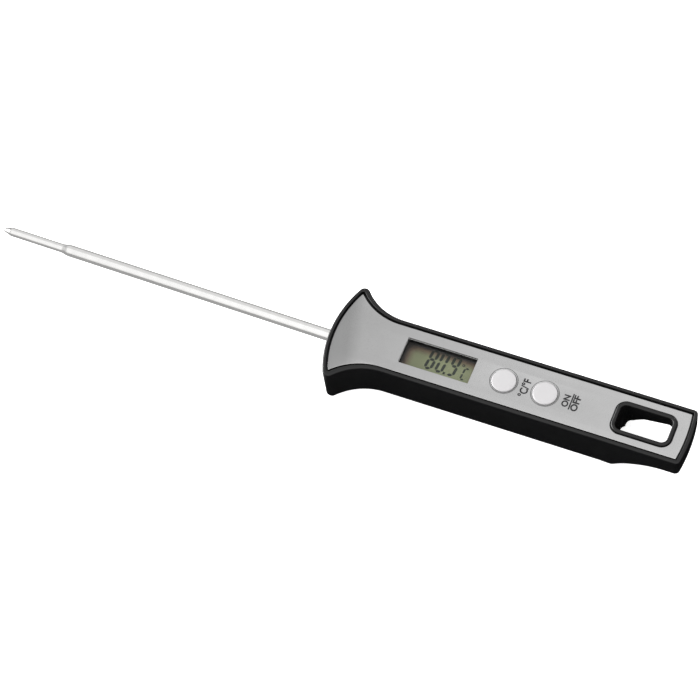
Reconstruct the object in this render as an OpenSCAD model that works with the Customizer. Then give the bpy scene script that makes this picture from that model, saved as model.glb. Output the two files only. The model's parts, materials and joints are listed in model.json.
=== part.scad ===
// Pocket probe thermometer: a hollow steel probe in a deep black handle with a silver plate,
// a recessed display, two push buttons, a hanging hole and a sliding battery cover.
// The handle lies on its back: +Z is the display side, +X points to the hanging end, and the
// origin is under the middle of the guard's front, halfway along the whole thermometer.

/* [Probe] */
// Length of the probe that shows, from the guard's front to the point
probe_len = 124.8; // [115:0.2:135]
// Diameter of the probe's shank
shank_d = 4.1; // [3.9:0.1:4.2]
// Diameter of the thin section behind the point
thin_d = 3.1; // [2.9:0.1:3.2]
// Length of the thin section, with the point
thin_len = 23.4; // [18.4:1:28.4]
// Length of the taper between the shank and the thin section
taper_len = 3.4; // [2:0.2:5]
// Length of the conical point
point_len = 4.2; // [3:0.2:5]
// Angle by which the probe rises towards the display side
probe_rise = 1.6; // [1:0.1:2]
// Height of the probe's axis at the guard's front
probe_z = 9.2; // [9:0.1:9.4]

/* [Handle] */
// Length of the handle, from the guard's front to the hanging end
handle_len = 124.65; // [123.65:0.25:126.65]
// Width of the straight part of the handle
handle_w = 20.6; // [20.2:0.1:21]
// Depth of the handle, from its back to its rim
depth = 16; // [15.9:0.05:16.1]
// Radius of the guard's bowed front
guard_bow = 40.3; // [38.3:0.5:44.3]
// Radius of the hollow flanks behind the guard
flank_r = 20; // [19:0.25:21]
// Distance from the guard's front to the end of its flanks
flank_x = 21.9; // [21.4:0.1:22.4]
// Shift of the flanks' centres towards the guard for each millimetre that an outline is inset
flank_lag = 0.5; // [0.3:0.05:0.6]
// Radius of the guard's two tips
tip_r = 2; // [1.6:0.1:2.2]
// Radius of the bowed hanging end
end_bow = 60; // [50:1:70]
// Radius of the rounding along the back's edges
back_round = 2.5; // [1.5:0.1:2.8]
// Radius of the rounding along the rim's outer edge
rim_round = 0.6; // [0.3:0.1:0.8]
// Thickness of the handle's walls
wall = 1.9; // [1.8:0.1:2]
// Width of the rim around the plate
rim_w = 1.2; // [1.1:0.05:1.3]
// Width of the dark groove between the rim and the plate
groove_w = 0.6; // [0.5:0.05:0.7]

/* [Hanging end] */
// Thickness of the hanging end
end_t = 7.9; // [7.5:0.1:8.2]
// Radius of the sweep from the full depth to the hanging end
sweep_r = 24; // [23:0.5:25]
// Distance from the guard's front to the end of that sweep
sweep_x = 119.4; // [119:0.1:119.8]
// Length of the hanging hole
hole_l = 17.5; // [17:0.1:17.8]
// Width of the hanging hole
hole_w = 9.1; // [8.8:0.1:9.4]
// Width of the raised collar around the hanging hole
collar_w = 1.3; // [1.2:0.05:1.4]
// Width of the dark gap between the collar and the plate
collar_gap = 0.5; // [0.3:0.05:0.6]
// Distance from the guard's front to the middle of the hanging hole
hole_x = 108.8; // [108.6:0.1:109]
// Angle at which the roof of the hollow around the hole rises towards the end
hollow_rise = 11; // [9:0.5:11.5]

/* [Display and buttons] */
// Length of the display window
window_l = 24.7; // [23.7:0.1:25]
// Width of the display window
window_w = 10; // [9:0.1:10.1]
// Distance from the guard's front to the middle of the window
window_x = 37.95; // [37.7:0.05:38.2]
// Diameter of a button's cap
button_d = 8.2; // [7.9:0.1:8.2]
// Diameter of the holes in the plate for the buttons
button_hole_d = 8.5; // [8.5:0.05:8.7]
// Outer diameter of the dished ring around each of those holes
dish_d = 9.2; // [9:0.1:9.6]
// Distance from the guard's front to the middle of the unit button
unit_x = 61; // [60.8:0.1:61.2]
// Distance from the guard's front to the middle of the power button
power_x = 75.2; // [75.1:0.05:75.3]
// Travel of each button
button_travel = 0.7; // [0.4:0.1:0.7]

/* [Battery] */
// Diameter of the button cell
cell_d = 11.6; // [11.5:0.1:11.6]
// Height of the button cell
cell_h = 5.4; // [5.3:0.05:5.4]
// Distance from the guard's front to the middle of the cell
cell_x = 83; // [82.9:0.1:83.1]
// Length of the sliding battery cover
cover_l = 32.5; // [32:0.5:33]

/* [Hidden] */
$fn = 96;

// Heights of the layers, from the back up
floor_t = 1.8;
plate_top = depth - 0.5;
plate_t = 0.85;
plate_z = plate_top - plate_t;
tape_t = 0.25;
ledge_z = plate_z - tape_t;
chassis_t = 1.4;
chassis_z = ledge_z - chassis_t;
board_t = 1;
board_z = 7.4;
board_top = board_z + board_t;
lens_t = 0.8;
polarizer_t = 0.2;
polarizer_top = 11.55;
glass_t = 1.7;
glass_z = polarizer_top - polarizer_t - glass_t;

// Plan of the handle
half_w = handle_w / 2;
plate_in = rim_w + groove_w;
flank_y = half_w + flank_r;
end_x = handle_len - end_bow;
end_corner_r = 1.5;
// Added to the rounding circles, so that they cross the outline instead of only touching it
seam = 0.002;
well_x = 96.6;
end_z = depth - end_t;

// Hanging hole, its collar and the hollow around it on the back
hole_r = 2;
collar_top = depth + 0.2;
hollow_x = 101.1;
hollow_l = 20.5;
hollow_w = 14.6;
hollow_z = 4.1;
hollow_r = 5.5;

// Probe, measured along its own axis from the guard's front
shank_r = shank_d / 2;
thin_r = thin_d / 2;
root_r = shank_r - 0.3;
root_gap = 0.4;
root_len = 12.5;
point_r = 0.3;
tube_wall = 0.4;
tip_s = probe_len / cos(probe_rise) - point_r * tan(probe_rise);
point_s = tip_s - point_len;
thin_s = tip_s - thin_len;
taper_s = thin_s - taper_len;
ferrule_r = 2.9;
ferrule_s = 3.3;
ferrule_l = 7.1;
seal_r = 0.85;
seat_split = 9;
bead_r = 0.75;
bead_s = point_s - 1.6;
lead_r = 0.35;
lead_y = 0.42;

// Fixings
clamp_x = 6.8;
clamp_y = 5.4;
clamp_screw_r = 0.9;
front_boss = [11.5, 7.6];
rear_boss = [93.6, 0];
chassis_screw_r = 1;
board_screw_r = 0.7;
board_posts = [[20.8, 6], [20.8, -6], [54, 6.1], [54, -6.1]];
thread_gap = 0.02;

// Display
glass_l = 28;
glass_w = 13;
tower_gap = 0.2;

// Buttons and switches
cap_top = plate_top + 0.35;
cap_edge = 0.35;
dish_h = 0.11;
flange_r = 5.5;
flange_t = 0.75;
flange_top = chassis_z - 0.05;
plunger_r = 1.5;
plunger_gap = 0.05;
switch_w = 5.2;
switch_h = 2.4;
switch_well = 0.8;

// Battery bay
cover_x = 66;
cover_t = 1.45;
cover_w = 12.8;
tongue_w = 1;
tongue_z = 0.9;
tongue_t = 0.55;
cover_gap = 0.15;
bay_floor = 2.6;
cell_z = 1.75;
sleeve_r = cell_d / 2 + 0.3;
sleeve_t = 1.1;
sleeve_top = 6.6;
leaf_t = 0.25;
leaf_w = 3;

// ---- plan shapes ----

// Centre of the circle of radius r that rounds the guard's upper tip on the plan grown by g: it
// touches the bowed front from inside and the flank's circle from outside.
function tip_centre(g, r) =
    let (a = guard_bow + g - r,
         b = flank_r - g + r,
         l = norm(flank_centre(g) - [guard_bow, 0]),
         lean = atan2(flank_y, flank_centre(g).x - guard_bow),
         apart = acos((a * a + l * l - b * b) / (2 * a * l)))
    [guard_bow + a * cos(lean + apart), a * sin(lean + apart)];

// Centre of the upper flank's circle on the plan grown by g
function flank_centre(g) = [flank_x + flank_lag * g, flank_y];

// Centre of the circle of radius r that rounds the hanging end's upper corner
function corner_centre(g, r) =
    [end_x + sqrt(pow(end_bow + g - r, 2) - pow(half_w + g - r, 2)), half_w + g - r];

// Point at distance r from p in the direction of q
function towards(p, q, r) = p + r * (q - p) / norm(q - p);

// Quarter or so of sharp material outside a rounding circle with centre c, between the points a
// and b where that circle touches the outline
module sharp_bit(c, a, b) {
    out = 6 * ((a + b) / 2 - c) / norm((a + b) / 2 - c);
    polygon([a, a + out, b + out, b]);
}

// Plan of the handle, grown by g all round
module plan(g = 0) {
    tip_round = max(tip_r + g, 0.3);
    corner_round = max(end_corner_r + g, 0.3);
    tip = tip_centre(g, tip_round);
    corner = corner_centre(g, corner_round);
    flank = flank_centre(g);
    difference() {
        intersection() {
            union() {
                translate([-g, -half_w - g])
                    square([handle_len + 2 * g, handle_w + 2 * g]);
                difference() {
                    translate([-g, -half_w - 12])
                        square([flank.x + g, handle_w + 24]);
                    for (side = [-1, 1])
                        translate([flank.x, side * flank.y])
                            circle(r = flank_r - g, $fn = 180);
                }
            }
            translate([guard_bow, 0])
                circle(r = guard_bow + g, $fn = 240);
        }
        for (side = [0, 1])
            mirror([0, side])
                sharp_bit(tip, towards([guard_bow, 0], tip, guard_bow + g),
                          towards(tip, flank, tip_round));
    }
    difference() {
        intersection() {
            translate([guard_bow, -half_w - g])
                square([handle_len - guard_bow + g, handle_w + 2 * g]);
            translate([end_x, 0])
                circle(r = end_bow + g, $fn = 240);
        }
        for (side = [0, 1])
            mirror([0, side])
                sharp_bit(corner, corner + [0, corner_round],
                          towards([end_x, 0], corner, end_bow + g));
    }
    for (side = [0, 1])
        mirror([0, side]) {
            translate(tip)
                circle(r = tip_round + seam);
            translate(corner)
                circle(r = corner_round + seam);
        }
}

module rounded_rect(l, w, r) {
    square([l - 2 * r, w], center = true);
    square([l, w - 2 * r], center = true);
    for (x = [-1, 1], y = [-1, 1])
        translate([x * (l / 2 - r), y * (w / 2 - r)])
            circle(r = r);
}

// ---- helpers ----

// Children are drawn along the probe's axis: +Z runs to the point and +X is up
module on_probe() {
    translate([0, 0, probe_z])
        rotate([0, probe_rise - 90, 0])
            children();
}

module both_sides() {
    for (side = [0, 1])
        mirror([0, side, 0])
            children();
}

// Extrusion of the plan between two heights
module slab(g, low, high) {
    translate([0, 0, low])
        linear_extrude(high - low)
            plan(g);
}

// Section of the material outside a rounding of radius r, for an edge whose outer corner is at
// the origin with the solid at -X and +Y
module round_section(r) {
    difference() {
        translate([-r, -1])
            square([r + 1, r + 1]);
        translate([-r, r])
            circle(r = r);
    }
}

// Cutter that rounds the handle's lower outer edge at radius r, all round the plan
module edge_cutter(r) {
    intersection() {
        translate([guard_bow, 0, 0])
            rotate_extrude($fn = 240)
                translate([guard_bow, 0])
                    round_section(r);
        translate([-2, -25, -2])
            cube([flank_x, 50, 10]);
    }
    both_sides()
        translate([flank_x, flank_y, 0])
            rotate_extrude($fn = 180)
                translate([flank_r, 0])
                    mirror([1, 0])
                        round_section(r);
    both_sides()
        translate([flank_x, half_w, 0])
            rotate([90, 0, 90])
                linear_extrude(handle_len - flank_x + 2)
                    round_section(r);
    intersection() {
        translate([end_x, 0, 0])
            rotate_extrude($fn = 240)
                translate([end_bow, 0])
                    round_section(r);
        translate([handle_len - 10, -15, -2])
            cube([20, 30, 10]);
    }
}

// Space under the swept back
module under_back() {
    translate([sweep_x, 0, end_z - sweep_r])
        rotate([90, 0, 0])
            cylinder(r = sweep_r, h = 40, center = true, $fn = 180);
    translate([sweep_x, -20, -10])
        cube([20, 40, end_z + 10]);
}

// Hollow in the back of the hanging end: a rounded front and a roof that rises to the end
module back_hollow() {
    middle = [hollow_x + hollow_r, hollow_z];
    front = [
        for (i = [0 : 8])
            let (a = 165 - (75 - hollow_rise) * i / 8)
            middle + hollow_r * [cos(a), sin(a)]
    ];
    far = handle_len + 5;
    intersection() {
        rotate([90, 0, 0])
            linear_extrude(40, center = true)
                polygon(concat(
                    [[hollow_x - 2, -3], [hollow_x - 2, front[0].y]],
                    front,
                    [[far, front[8].y + (far - front[8].x) * tan(hollow_rise)], [far, -3]]
                ));
        translate([hollow_x + hollow_l / 2, 0, -2])
            linear_extrude(depth)
                rounded_rect(hollow_l, hollow_w, hole_r);
    }
}

// Block between two heights in the shape of the hanging hole, grown by g all round
module around_hole(g, low, high) {
    translate([hole_x, 0, low])
        linear_extrude(high - low)
            rounded_rect(hole_l + 2 * g, hole_w + 2 * g, hole_r + g);
}

// Upright post with a pilot hole from its top
module boss(at, r, low, high, pilot_r, pilot_depth) {
    translate([at.x, at.y, low])
        difference() {
            cylinder(r = r, h = high - low);
            translate([0, 0, high - low - pilot_depth])
                cylinder(r = pilot_r, h = pilot_depth + 1);
        }
}

module pilot(at, r, low, high) {
    translate([at.x, at.y, low])
        cylinder(r = r, h = high - low);
}

// Pan-head screw with its head's underside at the origin and its thread below
module screw(thread_r, head_r, head_h, length) {
    difference() {
        union() {
            translate([0, 0, -length])
                cylinder(r = thread_r, h = length);
            cylinder(r = head_r, h = head_h);
        }
        for (turn = [0, 90])
            rotate([0, 0, turn])
                translate([0, 0, head_h])
                    cube([head_r * 1.1, 0.35, head_h], center = true);
    }
}

// ---- handle ----

module housing() {
    color([0.05, 0.05, 0.055])
        difference() {
            union() {
                difference() {
                    slab(0, 0, depth);
                    housing_cavity();
                }
                boss(rear_boss, 2.3, bay_floor, chassis_z, chassis_screw_r + thread_gap, 6);
                both_sides()
                    boss(front_boss, 2.3, floor_t - 0.1, chassis_z, chassis_screw_r + thread_gap, 7);
                intersection() {
                    slab(-0.5, 1, seat_split);
                    probe_seat();
                }
                cell_sleeve();
                around_hole(collar_w, plate_z - 1, collar_top);
            }
            around_hole(0, -1, depth + 2);
            under_back();
            back_hollow();
            edge_cutter(back_round);
            translate([0, 0, depth])
                mirror([0, 0, 1])
                    edge_cutter(rim_round);
            cover_channel();
            translate([cell_x, 0, -1])
                cylinder(r = sleeve_r, h = bay_floor + 2);
            on_probe() {
                translate([0, 0, -2.4])
                    cylinder(r = shank_r + 0.1, h = 6);
                translate([0, 0, -ferrule_s + 0.05])
                    cylinder(r = root_r + 2 * seal_r + 0.05, h = 2 * seal_r + 0.1);
            }
        }
}

// Space inside the handle for the electronics, and the recess for the plate
module housing_cavity() {
    intersection() {
        slab(-wall, floor_t, depth + 1);
        union() {
            translate([-5, -30, 0])
                cube([cover_x - 1, 60, 30]);
            translate([cover_x - 6.1, -30, bay_floor])
                cube([well_x - cover_x + 6.1, 60, 30]);
        }
    }
    slab(-rim_w, ledge_z, depth + 1);
}

// Cradle for the ferrule at the root of the probe, with the clamp's two screw bosses
module probe_seat() {
    difference() {
        union() {
            translate([1, -4.2, 1])
                cube([12.4, 8.4, seat_split - 1]);
            both_sides()
                translate([clamp_x, clamp_y, 1])
                    cylinder(r = 2, h = seat_split - 1);
        }
        on_probe() {
            translate([0, 0, -ferrule_s - ferrule_l - 0.05])
                cylinder(r = ferrule_r + 0.02, h = ferrule_l + 0.1);
            translate([0, 0, -20])
                cylinder(r = shank_r + 0.05, h = 22);
        }
        both_sides()
            pilot([clamp_x, clamp_y], clamp_screw_r + thread_gap, seat_split - 5.5, seat_split + 1);
    }
}

module cell_sleeve() {
    difference() {
        translate([cell_x, 0, floor_t])
            cylinder(r = sleeve_r + sleeve_t, h = sleeve_top - floor_t);
        translate([cell_x, 0, 0])
            cylinder(r = sleeve_r, h = 20);
        translate([cell_x - 10, -2.2, bay_floor])
            cube([10, 4.4, 20]);
    }
}

// Undercut channel in the back that the battery cover slides along, with a wide mouth at the sweep
module cover_channel() {
    translate([cover_x - cover_gap, -cover_w / 2 - cover_gap, -1])
        cube([60, cover_w + 2 * cover_gap, 1 + cover_t + 0.1]);
    translate([cover_x - cover_gap, -cover_w / 2 - tongue_w - cover_gap, tongue_z - 0.12])
        cube([60, cover_w + 2 * (tongue_w + cover_gap), cover_t + 0.1 - tongue_z + 0.12]);
    translate([cover_x + cover_l + cover_gap, -cover_w / 2 - tongue_w - cover_gap, -1])
        cube([30, cover_w + 2 * (tongue_w + cover_gap), cover_t + 0.9]);
}

module faceplate() {
    color([0.72, 0.72, 0.73])
        difference() {
            slab(-plate_in, plate_z, plate_top);
            translate([window_x, 0, depth])
                cube([window_l, window_w, 10], center = true);
            for (x = [unit_x, power_x]) {
                translate([x, 0, plate_z - 1])
                    cylinder(d = button_hole_d, h = 5);
                translate([x, 0, plate_top - dish_h])
                    cylinder(d1 = button_hole_d, d2 = 2 * dish_d - button_hole_d, h = 2 * dish_h);
            }
            around_hole(collar_w + collar_gap, plate_z - 1, depth);
        }
}

module plate_tape() {
    color([0.9, 0.9, 0.86])
        difference() {
            slab(-plate_in - 0.3, ledge_z, plate_z);
            translate([window_x, 0, depth])
                cube([window_l + 2, window_w + 2, 10], center = true);
            for (x = [unit_x, power_x])
                translate([x, 0, ledge_z - 1])
                    cylinder(d = button_hole_d + 1.2, h = 5);
            around_hole(collar_w + collar_gap + 0.25, ledge_z - 1, depth);
            both_sides()
                pilot(front_boss, 2.3, ledge_z - 1, depth);
            pilot(rear_boss, 2.3, ledge_z - 1, depth);
        }
}

// Inner frame under the plate: it carries the display and the circuit board, and guides the buttons
module chassis() {
    color([0.09, 0.09, 0.1])
        difference() {
            union() {
                intersection() {
                    slab(-wall - 0.1, chassis_z, ledge_z);
                    translate([-5, -30, 0])
                        cube([well_x + 4.8, 60, 30]);
                }
                translate([window_x, 0, (polarizer_top + chassis_z) / 2])
                    cube([glass_l, glass_w, chassis_z - polarizer_top], center = true);
                for (at = board_posts)
                    translate([at.x, at.y, board_top])
                        cylinder(r = 1.4, h = chassis_z - board_top + 0.1);
            }
            translate([window_x, 0, depth - 2])
                cube([window_l + 2 * tower_gap, window_w + 2 * tower_gap, 12], center = true);
            for (x = [unit_x, power_x])
                translate([x, 0, chassis_z - 1])
                    cylinder(d = button_hole_d + 0.1, h = 5);
            for (at = board_posts)
                pilot(at, board_screw_r + thread_gap, board_top - 1, board_top + 3.2);
            both_sides()
                chassis_screw_hole(front_boss);
            chassis_screw_hole(rear_boss);
        }
}

module chassis_screw_hole(at) {
    pilot(at, chassis_screw_r + 0.15, chassis_z - 1, depth);
    pilot(at, 2.1, chassis_z + 0.7, depth);
}

// ---- display ----

module display_lens() {
    color([0.9, 0.95, 0.95, 0.3])
        translate([window_x, 0, polarizer_top + lens_t / 2])
            cube([window_l + 0.3, window_w + 0.3, lens_t], center = true);
}

module lcd_polarizer() {
    color([0.5, 0.54, 0.4, 0.6])
        translate([window_x, 0, polarizer_top - polarizer_t / 2])
            cube([glass_l - 1.6, glass_w - 1.6, polarizer_t], center = true);
}

module lcd_glass() {
    color([0.7, 0.78, 0.7, 0.5])
        translate([window_x, 0, glass_z + glass_t / 2])
            cube([glass_l, glass_w, glass_t], center = true);
}

module lcd_reflector() {
    color([0.49, 0.5, 0.36])
        translate([window_x, 0, glass_z - 0.1])
            cube([glass_l - 1.6, glass_w - 4.4, 0.2], center = true);
}

module zebra_strips() {
    color([0.2, 0.2, 0.2])
        both_sides()
            translate([window_x - glass_l / 2 + 0.8, glass_w / 2 - 1.9, board_top])
                cube([glass_l - 1.6, 1.6, glass_z - board_top]);
}

// ---- circuit board and what is on it ----

module circuit_board() {
    color([0.1, 0.35, 0.15])
        difference() {
            translate([19, -7.6, board_z])
                cube([61, 15.2, board_t]);
            for (at = board_posts)
                pilot(at, board_screw_r + 0.15, board_z - 1, board_top + 1);
        }
}

module controller_blob() {
    color([0.03, 0.03, 0.03])
        intersection() {
            translate([window_x, 0, board_z + 7.6])
                sphere(r = 9.1);
            translate([window_x - 8, -8, board_z - 3])
                cube([16, 16, 3]);
        }
}

module chip_resistors() {
    color([0.12, 0.12, 0.13])
        for (at = [[27, 4.6], [27, 2.4], [48, 5], [51.5, 5], [55, 3.5]])
            translate([at.x, at.y, board_z - 0.25])
                cube([1.6, 0.8, 0.5], center = true);
}

module chip_capacitors() {
    color([0.62, 0.5, 0.36])
        for (at = [[27, -1.5], [48, -5], [67, 3.5]])
            translate([at.x, at.y, board_z - 0.4])
                cube([2, 1.25, 0.8], center = true);
}

module clock_crystal() {
    color([0.75, 0.75, 0.76])
        translate([58, -3.5, board_z - 1])
            rotate([0, 90, 0])
                cylinder(r = 1, h = 6);
}

module switch_body(x) {
    difference() {
        translate([x, 0, board_top + switch_h / 2])
            cube([switch_w, switch_w, switch_h], center = true);
        translate([x, 0, board_top + switch_well])
            cylinder(r = plunger_r + plunger_gap, h = switch_h);
    }
}

// Plunger that reaches from just above the bottom of its switch at full travel to the flange
module switch_plunger(x) {
    low = board_top + switch_well + button_travel + 0.1;
    translate([x, 0, low])
        cylinder(r = plunger_r, h = flange_top - flange_t - low);
}

// Push button: a flange that stays under the chassis and a cap with a rounded shoulder
module button(x) {
    cap_r = button_d / 2;
    translate([x, 0, 0])
        rotate_extrude()
            difference() {
                union() {
                    translate([0, flange_top - flange_t])
                        square([flange_r, flange_t]);
                    translate([0, flange_top - flange_t])
                        square([cap_r - cap_edge, cap_top - flange_top + flange_t]);
                    translate([0, flange_top - flange_t])
                        square([cap_r, cap_top - cap_edge - flange_top + flange_t]);
                    intersection() {
                        translate([cap_r - cap_edge, cap_top - cap_edge])
                            circle(r = cap_edge);
                        translate([0, cap_top - cap_edge])
                            square([cap_r, cap_edge]);
                    }
                }
                translate([-1, flange_top - 10])
                    square([1, 20]);
            }
}

module unit_switch() {
    color([0.16, 0.16, 0.17])
        switch_body(unit_x);
}

module power_switch() {
    color([0.16, 0.16, 0.17])
        switch_body(power_x);
}

module unit_plunger() {
    color([0.75, 0.7, 0.6])
        switch_plunger(unit_x);
}

module power_plunger() {
    color([0.75, 0.7, 0.6])
        switch_plunger(power_x);
}

module unit_button() {
    color([0.9, 0.9, 0.91])
        button(unit_x);
}

module power_button() {
    color([0.9, 0.9, 0.91])
        button(power_x);
}

// ---- probe ----

module probe_tube() {
    bore_r = root_r - tube_wall;
    thin_bore_r = thin_r - tube_wall;
    color([0.78, 0.78, 0.8])
        on_probe()
            rotate_extrude()
                polygon([
                    [bore_r, -root_len], [root_r, -root_len], [root_r, root_gap], [shank_r, root_gap],
                    [shank_r, taper_s], [thin_r, thin_s], [thin_r, point_s], [point_r, tip_s],
                    [0, tip_s], [0, point_s + 0.5], [thin_bore_r, point_s - 0.2],
                    [thin_bore_r, thin_s], [bore_r, taper_s]
                ]);
}

module probe_seal() {
    color([0.35, 0.12, 0.1])
        on_probe()
            translate([0, 0, -ferrule_s + seal_r + 0.1])
                rotate_extrude()
                    translate([root_r + seal_r + 0.02, 0])
                        circle(r = seal_r, $fn = 48);
}

module probe_ferrule() {
    color([0.75, 0.62, 0.3])
        on_probe()
            rotate_extrude()
                difference() {
                    translate([root_r + 0.02, -ferrule_s - ferrule_l])
                        square([ferrule_r - root_r - 0.02, ferrule_l]);
                    translate([ferrule_r, -ferrule_s - ferrule_l / 2])
                        circle(r = 0.4, $fn = 32);
                }
}

// Saddle that holds the ferrule down, with an ear on each side
module probe_clamp() {
    color([0.7, 0.7, 0.72])
        difference() {
            union() {
                translate([clamp_x - 1.9, -3.6, seat_split + 0.1])
                    cube([3.8, 7.2, 3.7]);
                translate([clamp_x - 1.9, -7.3, seat_split])
                    cube([3.8, 14.6, 1.4]);
            }
            on_probe()
                translate([0, 0, -20])
                    cylinder(r = ferrule_r + 0.02, h = 22);
            both_sides()
                pilot([clamp_x, clamp_y], clamp_screw_r + 0.15, seat_split - 1, seat_split + 3);
        }
}

module thermistor() {
    color([0.25, 0.12, 0.1])
        difference() {
            on_probe()
                translate([0, 0, bead_s])
                    sphere(r = bead_r);
            leads_in_probe();
        }
}

module tip_potting() {
    color([0.85, 0.85, 0.8])
        difference() {
            on_probe()
                translate([0, 0, bead_s - 6])
                    cylinder(r = thin_r - tube_wall - 0.01, h = 7.3);
            on_probe()
                translate([0, 0, bead_s])
                    sphere(r = bead_r);
            leads_in_probe();
        }
}

// The two leads' straight run inside the probe, ending in the thermistor's bead
module leads_in_probe() {
    both_sides()
        on_probe()
            translate([0, lead_y, -root_len - 0.5])
                cylinder(r = lead_r, h = bead_s - 0.45 + root_len + 0.5, $fn = 24);
}

// Two leads from the thermistor through the probe and down to the board
module sensor_leads() {
    landing = board_top + lead_r + 0.02;
    color([0.85, 0.8, 0.2])
        both_sides()
            lead([
                in_probe(bead_s - 0.45), in_probe(-root_len - 0.5), [15.5, 1, 9.1], [18.5, 1.3, 9.2],
                [20.2, 1.3, landing], [22.6, 1.3, landing]
            ]);
}

// Point of the first lead at the distance s along the probe
function in_probe(s) = [-s * cos(probe_rise), lead_y, probe_z + s * sin(probe_rise)];

// Direction of a route at its point i, halfway between the stretches that meet there
function heading(route, i) =
    let (step = route[min(i + 1, len(route) - 1)] - route[max(i - 1, 0)])
    step / norm(step);

// Eight-sided lead that follows a route
module lead(route) {
    last = len(route) - 1;
    points = [
        for (i = [0 : last])
            let (ahead = heading(route, i),
                 side = cross(ahead, [0, 0, 1]) / norm(cross(ahead, [0, 0, 1])),
                 up = cross(side, ahead))
            for (k = [0 : 7])
                route[i] + lead_r * (cos(45 * k) * side + sin(45 * k) * up)
    ];
    walls = [
        for (i = [0 : last - 1], k = [0 : 7])
            [8 * i + k, 8 * i + (k + 1) % 8, 8 * i + 8 + (k + 1) % 8, 8 * i + 8 + k]
    ];
    polyhedron(points, concat([[for (k = [7 : -1 : 0]) k]], walls, [[for (k = [0 : 7]) 8 * last + k]]));
}

// ---- battery ----

module button_cell() {
    r = cell_d / 2;
    color([0.76, 0.76, 0.78])
        translate([cell_x, 0, cell_z])
            rotate_extrude()
                polygon([
                    [0, 0], [r - 0.3, 0], [r, 0.3], [r, cell_h - 0.6], [r - 0.4, cell_h - 0.3],
                    [r - 0.9, cell_h - 0.3], [r - 1, cell_h], [0, cell_h]
                ]);
}

// Leaf that touches the side of the cell's can and is soldered under the board
module contact_plus() {
    side = cell_x - cell_d / 2;
    color([0.8, 0.7, 0.35])
        translate([0, leaf_w / 2, 0])
            rotate([90, 0, 0])
                linear_extrude(leaf_w)
                    polygon([
                        [side - 3.6, board_z], [side - 3.6, board_z - leaf_t],
                        [side - 0.85, board_z - leaf_t],
                        [side - 0.85, 5.2], [side - leaf_t, 4.6], [side - 0.85, 4], [side - 0.85, 3],
                        [side - 0.6, 3], [side - 0.6, 3.9], [side, 4.5], [side, 4.7], [side - 0.6, 5.3],
                        [side - 0.6, board_z]
                    ]);
}

// Leaf that presses on the cell's cap from the end of the board
module contact_minus() {
    cell_top = cell_z + cell_h;
    color([0.8, 0.7, 0.35])
        translate([0, leaf_w / 2, 0])
            rotate([90, 0, 0])
                linear_extrude(leaf_w)
                    polygon([
                        [77.8, board_top], [80.3, board_top], [81.4, cell_top + 0.6], [83.3, cell_top],
                        [83.8, cell_top], [85.4, cell_top + 0.5], [85.3, cell_top + 0.5 + leaf_t],
                        [83.7, cell_top + leaf_t], [83.4, cell_top + leaf_t], [81.6, cell_top + 0.6 + leaf_t],
                        [80.5, board_top + leaf_t], [77.8, board_top + leaf_t]
                    ]);
}

// Sliding cover in the back: a plate with a tongue along each side and finger grooves
module battery_cover() {
    color([0.06, 0.06, 0.065])
        difference() {
            union() {
                translate([cover_x, -cover_w / 2, 0.05])
                    cube([cover_l, cover_w, cover_t - 0.05]);
                translate([cover_x, -cover_w / 2 - tongue_w, tongue_z])
                    cube([cover_l - 1, cover_w + 2 * tongue_w, tongue_t]);
            }
            for (i = [0 : 4])
                translate([cover_x + 3 + 1.6 * i, 0, 0.05])
                    rotate([90, 0, 0])
                        cylinder(r = 0.45, h = 8.4, center = true, $fn = 32);
        }
}

// ---- screws ----

module clamp_screws() {
    color([0.6, 0.6, 0.62])
        both_sides()
            translate([clamp_x, clamp_y, seat_split + 1.4])
                screw(clamp_screw_r, 1.6, 0.9, 6.2);
}

module chassis_screws() {
    color([0.6, 0.6, 0.62]) {
        both_sides()
            translate([front_boss.x, front_boss.y, chassis_z + 0.7])
                screw(chassis_screw_r, 1.9, 0.65, 6.5);
        translate([rear_boss.x, rear_boss.y, chassis_z + 0.7])
            screw(chassis_screw_r, 1.9, 0.65, 5.5);
    }
}

module board_screws() {
    color([0.6, 0.6, 0.62])
        for (at = board_posts)
            translate([at.x, at.y, board_z])
                mirror([0, 0, 1])
                    screw(board_screw_r, 1.3, 0.7, 3.8);
}

housing();
faceplate();
plate_tape();
chassis();
display_lens();
lcd_polarizer();
lcd_glass();
lcd_reflector();
zebra_strips();
circuit_board();
controller_blob();
chip_resistors();
chip_capacitors();
clock_crystal();
unit_switch();
power_switch();
unit_plunger();
power_plunger();
unit_button();
power_button();
probe_tube();
probe_seal();
probe_ferrule();
probe_clamp();
thermistor();
tip_potting();
sensor_leads();
button_cell();
contact_plus();
contact_minus();
battery_cover();
clamp_screws();
chassis_screws();
board_screws();
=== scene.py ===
"""Looks of the digital meat thermometer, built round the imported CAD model.

Sizes are in millimetres in the CAD's own frame and become metres where a mesh is made.
"""

import json
import math

import bmesh
import bpy
from mathutils import Matrix, Vector


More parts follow.
